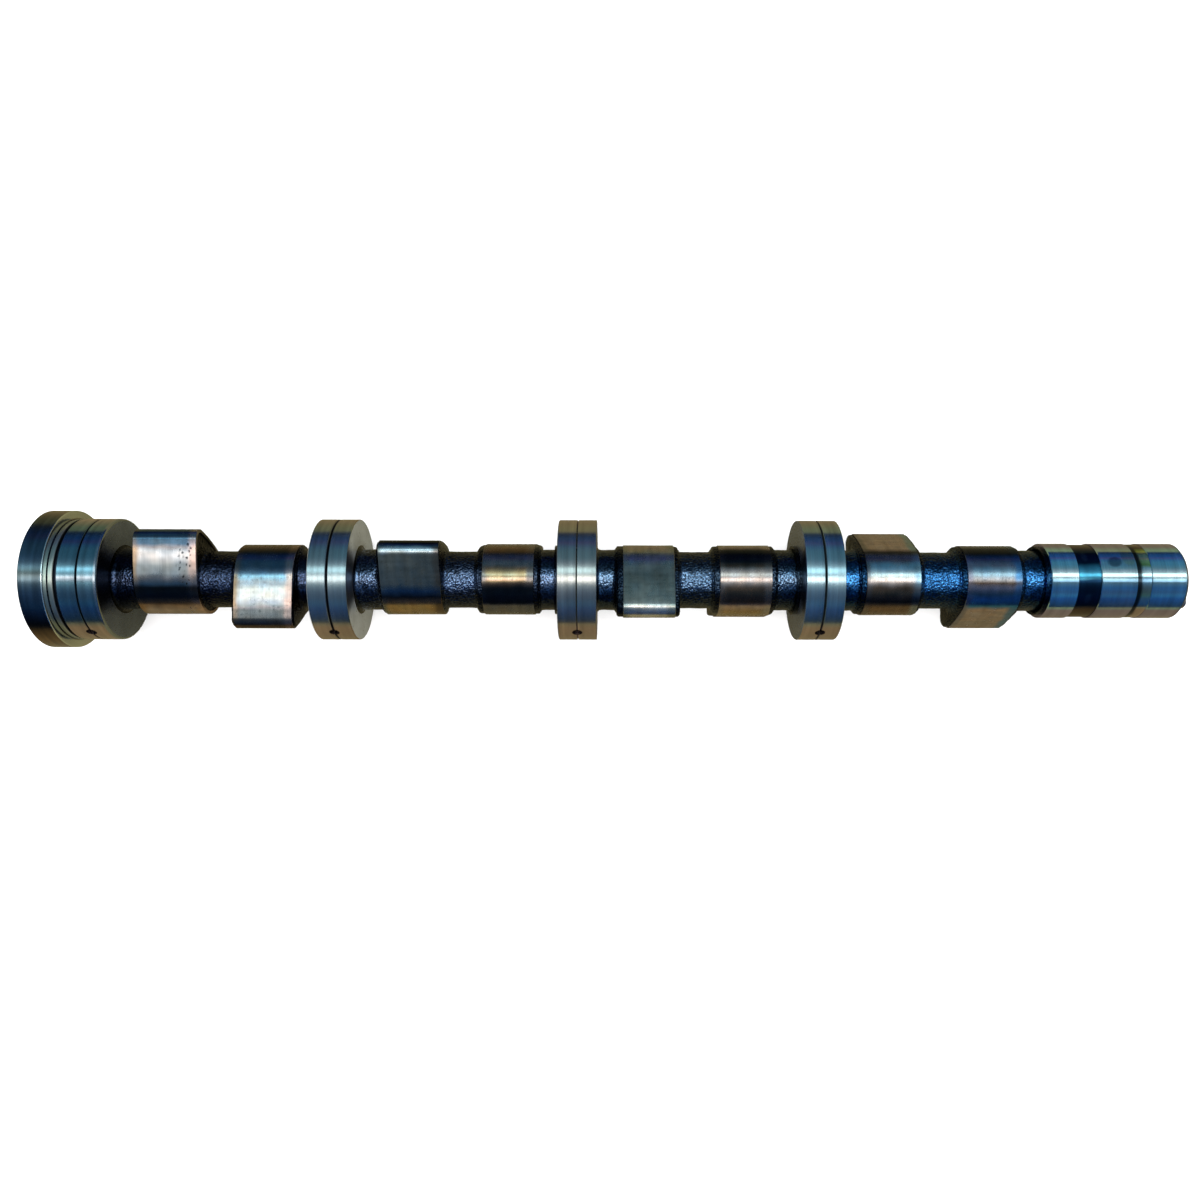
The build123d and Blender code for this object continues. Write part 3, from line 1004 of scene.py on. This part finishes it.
# %% Bay castings
skin_colours = [
    (0.080, 0.110, 0.190),
    (0.19, 0.27, 0.42),
    (0.21, 0.33, 0.49),
    (0.07, 0.29, 0.66),
]
for number in range(4):
    x, r, angle = bay_casting(number)
    points = around(x, r, angle)
    rough = 0.06 * waves(points, 6.0, 26, 300 + number) + 0.03 * waves(points, 2.6, 26, 400 + number)
    dents = -0.15 * np.clip(waves(points, 7.0, 20, 500 + number) - 0.4, 0.0, 1.0)
    held = np.ones(x.shape)  # 0 in the rows that meet the journals, which stay where they are
    held[:3] = 0.0
    held[-5:] = 0.0
    points = along_normals(points, (rough + dents - 0.05) * held)
    from_journal = np.minimum(x - x.min(), x.max() - x)
    # The skin is painted lighter over the top of the shaft, painted light, and five times darker on the
    # cams' cheeks and walls, painted shade.
    around_top = from_top(angle) + 5.0 * waves(points, 4.0, 14, 600 + number)
    painted_top_light = 0.16 + 0.84 * steps(around_top, -20.0, 15.0, 3.0)
    painted_cheek_shade = 1.0 - 0.8 * steps(r, neck_radius + 0.7, 1e3, 0.3)
    skin = (painted_top_light * painted_cheek_shade)[..., None] * np.asarray(skin_colours[number])
    piece(
        ("first", "second", "third", "fourth")[number] + "_bay_casting",
        points,
        [casting_skin],
        None,
        {
            "steel": skin,
            "hammer": 0.25 + 0.75 * steps(from_journal, 9.0, 1e3, 1.5),
        },
        sharp=60.0,
    )

# %% [markdown]
# ## The pulley end
#
# The last part of the shaft is turned and ground to several diameters: a small bearing, a
# relief that was only turned, the land that the oil seal's lip runs on, a groove, and the seat
# of the timing pulley. A bolt holds the pulley, so the end is drilled and tapped.

# %% One band of the pulley end
band_foot = 9.0  # the radius, hidden inside the shaft, at which the ends of the bands stop


def band(name, x_rear, x_front, radius, edge, material, zones, seed, spots=()):
    """One ring of the pulley end, as a drum with small chamfered edges."""
    outline = section(
        [
            (x_rear, band_foot),
            (x_rear, radius - edge),
            (x_rear + edge, radius),
            (x_front - edge, radius),
            (x_front, radius - edge),
            (x_front, band_foot),
        ],
        0.6,
    )
    band_x, band_r = outline.T
    points = around(band_x[:, None], band_r[:, None], turns[None, :])
    streak = waves(points * np.array([3.0, 0.2, 0.2]), 8.0, 12, seed)[..., None]
    wander = waves(points, 7.0, 12, seed + 10)
    steel, dull = round_the_shaft(turns[None, :] + np.radians(0.8) * wander, zones)
    degrees = from_top(turns[None, :])
    for along, half_length, turned, half_turn, finish, amount in spots:
        away = np.hypot((band_x[:, None] - along) / half_length, (degrees - turned) / half_turn)
        inside = amount * steps(away + 0.12 * wander, -9.0, 1.0, 0.08)[..., None]
        steel = tinted(steel, finishes_and_painted_light[finish][0], inside)
    return piece(name, points, [material], None, ground_marks(steel * (1.0 + 0.14 * streak), dull=dull))


# %% How the bands look
finishes_and_painted_light.update(
    {
        "blue steel": ((0.48, 0.86, 1.00), 0.00),
        "grey blue": ((0.50, 0.72, 0.84), 0.00),
        "navy": ((0.006, 0.025, 0.060), 0.00),
        "painted cyan highlight": ((0.110, 0.440, 0.600), 0.00),
        "moss": ((0.90, 1.00, 0.42), 0.02),
        "green": ((0.34, 0.50, 0.17), 0.02),
        "olive": ((0.55, 0.62, 0.36), 0.02),
        "end painted_reflection": ((0.44, 0.40, 0.62), 0.00),
        "shaded steel": ((0.14, 0.27, 0.38), 0.00),
        "deep shade": ((0.10, 0.20, 0.27), 0.00),
        "grey steel": ((0.23, 0.39, 0.45), 0.00),
        "painted highlight steel": ((0.82, 0.96, 0.94), 0.00),
        "cold steel": ((0.20, 0.56, 0.92), 0.00),
    }
)
# Near the top these zones paint light: painted shade from -5 to 2 degrees and a painted highlight from
# 5 to 18 degrees, and at the sides lighter steel paints a stronger reflection of the bench. The
# groove's zones paint the same near the top.
blue_zones = [
    (-75, "end painted_reflection"), (-52, "end painted_reflection"), (-44, "blue steel"), (-22, "blue steel"),
    (-13, "cold steel"), (-5, "shaded steel"), (-3.5, "deep shade"), (-1, "shaded steel"),
    (2, "grey steel"), (5, "painted highlight steel"), (18, "painted highlight steel"), (24, "blue steel"), (52, "blue steel"),
    (64, "end painted_reflection"),
]
land_zones = [(angle, "grey blue" if name == "blue steel" else name) for angle, name in blue_zones]
# The relief is dark all round, with a painted highlight from 8 to 19 degrees.
relief_zones = [
    (-75, "umber"), (-52, "umber"), (-42, "navy"), (0, "navy"), (8, "painted cyan highlight"), (19, "painted cyan highlight"),
    (27, "navy"), (52, "navy"), (66, "umber"),
]
groove_zones = [
    (-75, "painted_reflection"), (-50, "painted_reflection"), (-40, "blue steel"), (-24, "olive"), (-5, "shaded steel"),
    (3, "shaded steel"), (8, "painted highlight steel"), (18, "painted highlight steel"), (23, "green"), (36, "moss"),
    (46, "moss"), (52, "green"), (60, "umber"), (75, "brown"),
]
# Spots: where along the axis, half length, where round the shaft, half turn, finish, strength.
relief_spots = [(8.6, 1.1, 40.0, 9.0, "blued", 0.5), (9.5, 1.3, -30.0, 8.0, "blued", 0.3)]
land_spots = [(19.9, 2.6, 29.0, 8.0, "blued", 0.75), (25.6, 2.8, 36.0, 15.0, "olive", 0.6)]
# The groove's one spot is painted shade all round its rear end.
groove_spots = [(28.4, 1.5, 60.0, 400.0, "painted_shade", 0.95)]
print("finishes:", len(finishes_and_painted_light))

# %% Pulley end bands
relief_rear = 5.3  # each band of the pulley end starts where the one before it ends
land_rear = 14.1
groove_rear = 28.2
seat_rear = 33.6
band("front_journal", front_journal_rear, relief_rear, 14.975, 0.25, end_steel, blue_zones, 61)
band("front_relief", relief_rear, land_rear, 14.55, 0.15, relief_steel, relief_zones, 62, relief_spots)
band("seal_land", land_rear, groove_rear, 15.0, 0.25, end_steel, land_zones, 63, land_spots)
band("seat_groove", groove_rear, seat_rear, 14.75, 0.1, end_steel, groove_zones, 64, groove_spots)

# %% Pulley seat and bolt hole
front_face = 48.2
seat_radius = 15.0
seat_chamfer = 1.0
hole_mouth_radius = 6.2
thread_pitch = 1.75
thread_inner_radius = 5.15
thread_depth = 0.85
thread_end = 17.0
seat_outline = section(
    [
        (seat_rear, band_foot),
        (seat_rear, seat_radius - 0.2),
        (seat_rear + 0.2, seat_radius),
        (front_face - seat_chamfer, seat_radius),
        (front_face, seat_radius - seat_chamfer),
        (front_face, hole_mouth_radius),
    ],
    0.6,
)
thread_x = np.arange(front_face - 1.4, thread_end, -thread_pitch / 8.0)
column_turn = turns[None, :] / TURN
thread_phase = ((thread_x[:, None] / thread_pitch + column_turn) % 1.0)
thread_r = thread_inner_radius + thread_depth * (1.0 - np.abs(2.0 * thread_phase - 1.0))
outer_x = np.repeat(seat_outline[:, :1], columns, axis=1)
outer_r = np.repeat(seat_outline[:, 1:], columns, axis=1)
deep_x = np.array([[thread_end], [15.6], [14.0], [14.0]]) * np.ones((1, columns))
deep_r = np.array([[5.1], [0.4], [0.4], [band_foot]]) * np.ones((1, columns))
thread_full_x = np.repeat(thread_x[:, None], columns, axis=1)
seat_x = np.concatenate((outer_x, thread_full_x, deep_x))
seat_r = np.concatenate((outer_r, thread_r, deep_r))
seat_points = around(seat_x, seat_r, turns[None, :])
seat_rows = np.where((seat_x[:, 0] < 47.1) & (seat_r[:, 0] > 14.0), 1, 0)
seat_streak = waves(seat_points * np.array([3.0, 0.2, 0.2]), 8.0, 12, 65)[..., None]
piece(
    "pulley_seat",
    seat_points,
    [side_steel, end_steel],
    seat_rows,
    ground_marks(
        round_the_shaft(turns, blue_zones)[0][None] * (1.0 + 0.12 * seat_streak),
        stain_and_shade=np.where((seat_x > 47.15) & (seat_r > 13.9), 0.9, 0.0),
    ),
)

# %% [markdown]
# ## The pressed-in pieces
#
# The cup plug in the flange and the dowel in the pulley end are plain steel, so the CAD solids
# themselves are shown and only get a finish.

# %% CAD pieces
for node in ("gallery_plug", "pulley_dowel"):
    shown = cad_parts[node]
    shown.data.materials.clear()
    shown.data.materials.append(small_steel)
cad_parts["camshaft"].data.materials.clear()
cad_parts["camshaft"].data.materials.append(side_steel)
print("frame nodes with a finish:", len(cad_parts))

# %% [markdown]
# ## Floor, light and camera
#
# Bright metal shows its surroundings, so the room matters more than the lamps. Two long panels
# hang over the shaft and make the bright double line along its top. The floor is pale. In the
# steel, though, it is a tan bench that ends a little way off, and a dim blue room stands past it.

# %% Floor
shaft_middle = -0.177
bpy.ops.mesh.primitive_plane_add(size=6.0, location=(shaft_middle, 0.0, -flange_radius * MM))
floor = bpy.context.object
floor.name = "studio_floor"
floor_material = bpy.data.materials.new("studio_floor")
floor_material.use_nodes = True
tree = floor_material.node_tree
shader = tree.nodes["Principled BSDF"]
path = tree.nodes.new("ShaderNodeLightPath")
place = tree.nodes.new("ShaderNodeNewGeometry")
apart = tree.nodes.new("ShaderNodeSeparateXYZ")
tree.links.new(place.outputs["Position"], apart.inputs[0])
pale_paint = (0.93, 0.93, 0.93)
bench_tan = (0.150, 0.125, 0.062)
past_the_bench = (0.003, 0.012, 0.035)
edge_of_bench = ranged(tree, apart.outputs["Y"], 0.20, 0.29)
bench = mix_colour(tree, edge_of_bench, bench_tan, past_the_bench)
paint = mix_colour(tree, path.outputs["Is Glossy Ray"], pale_paint, bench)
tree.links.new(paint, shader.inputs["Base Color"])
shader.inputs["Roughness"].default_value = 0.9
shader.inputs["Specular IOR Level"].default_value = 0.0
floor.data.materials.append(floor_material)
print(f"floor: {flange_radius} mm under the axis, where the rim of the flange rests")

# %% Light
world = bpy.data.worlds.new("studio_room")
bpy.context.scene.world = world
world.use_nodes = True
tree = world.node_tree
background = tree.nodes["Background"]
path = tree.nodes.new("ShaderNodeLightPath")
direction = tree.nodes.new("ShaderNodeTexCoord")
split = tree.nodes.new("ShaderNodeSeparateXYZ")
tree.links.new(direction.outputs["Generated"], split.inputs[0])
lean = math_node(tree, "ARCTAN2", split.outputs["Y"], split.outputs["Z"])
share = math_node(tree, "ADD", math_node(tree, "DIVIDE", lean, TURN), 0.5)
room_palette = {
    "dark wall": (0.02, 0.03, 0.04),
    "night blue": (0.01, 0.04, 0.11),
    "deep blue": (0.01, 0.06, 0.20),
    "window blue": (0.03, 0.12, 0.25),
    "slate": (0.05, 0.10, 0.19),
    "dim glow": (0.10, 0.16, 0.26),
    "half glow": (0.22, 0.31, 0.41),
    "glow": (0.42, 0.53, 0.60),
    "evening blue": (0.07, 0.18, 0.26),
    "violet": (0.08, 0.06, 0.19),
}
room_bands = [
    # degrees from straight up towards +Y, and the colour of the room there
    (-92, "dark wall"),
    (-76, "night blue"),
    (-57, "deep blue"),
    (-48, "window blue"),
    (-35, "slate"),
    (-22, "dim glow"),
    (-14, "half glow"),
    (-8, "glow"),
    (23, "glow"),
    (30, "half glow"),
    (38, "evening blue"),
    (57, "evening blue"),
    (66, "window blue"),
    (73, "violet"),
    (78, "deep blue"),
    (95, "night blue"),
]
room = ramp(tree, share, [(angle / 360.0 + 0.5, room_palette[name]) for angle, name in room_bands])
# Mirror-like rays meet the bands of the room, and all others an even white that fills the shade.
white_fill = (1.9, 1.9, 1.9)
seen = mix_colour(tree, path.outputs["Is Glossy Ray"], white_fill, room)
tree.links.new(seen, background.inputs["Color"])
background.inputs["Strength"].default_value = 1.0
bpy.context.scene.view_settings.view_transform = "Standard"


def panel(name, low, high, height, power, colour):
    """A long soft light over the shaft, between two angles from straight up towards +Y."""
    near = height * math.tan(math.radians(low))
    far = height * math.tan(math.radians(high))
    light = bpy.data.lights.new(name, "AREA")
    light.shape = "RECTANGLE"
    light.size = 3.2
    light.size_y = far - near
    light.energy = power
    light.color = colour
    lamp = bpy.data.objects.new(name, light)
    bpy.context.scene.collection.objects.link(lamp)
    lamp.location = (shaft_middle, (near + far) / 2, height)
    lamp.visible_camera = False
    return lamp


panel("wide_panel", -4.2, 5.6, 1.5, 8.4, (1.0, 0.91, 0.87))
panel("narrow_panel", 11.8, 21.4, 1.5, 5.4, (0.70, 0.94, 1.0))
print("lights:", [light.name for light in bpy.data.lights])

# %% Camera
camera_data = bpy.data.cameras.new("studio_camera")
camera_data.lens = 30.0
camera_data.sensor_width = 36.0
camera_data.shift_x = -1.0 / 120.0
camera = bpy.data.objects.new("studio_camera", camera_data)
bpy.context.scene.collection.objects.link(camera)
camera.location = (-0.1772, -0.00807, 0.4034)
camera.rotation_euler = (0.0, 0.0, math.radians(0.105))
bpy.context.scene.camera = camera
print(f"camera: {camera_data.lens} mm lens, {camera.location.z:.3f} m above the axis")
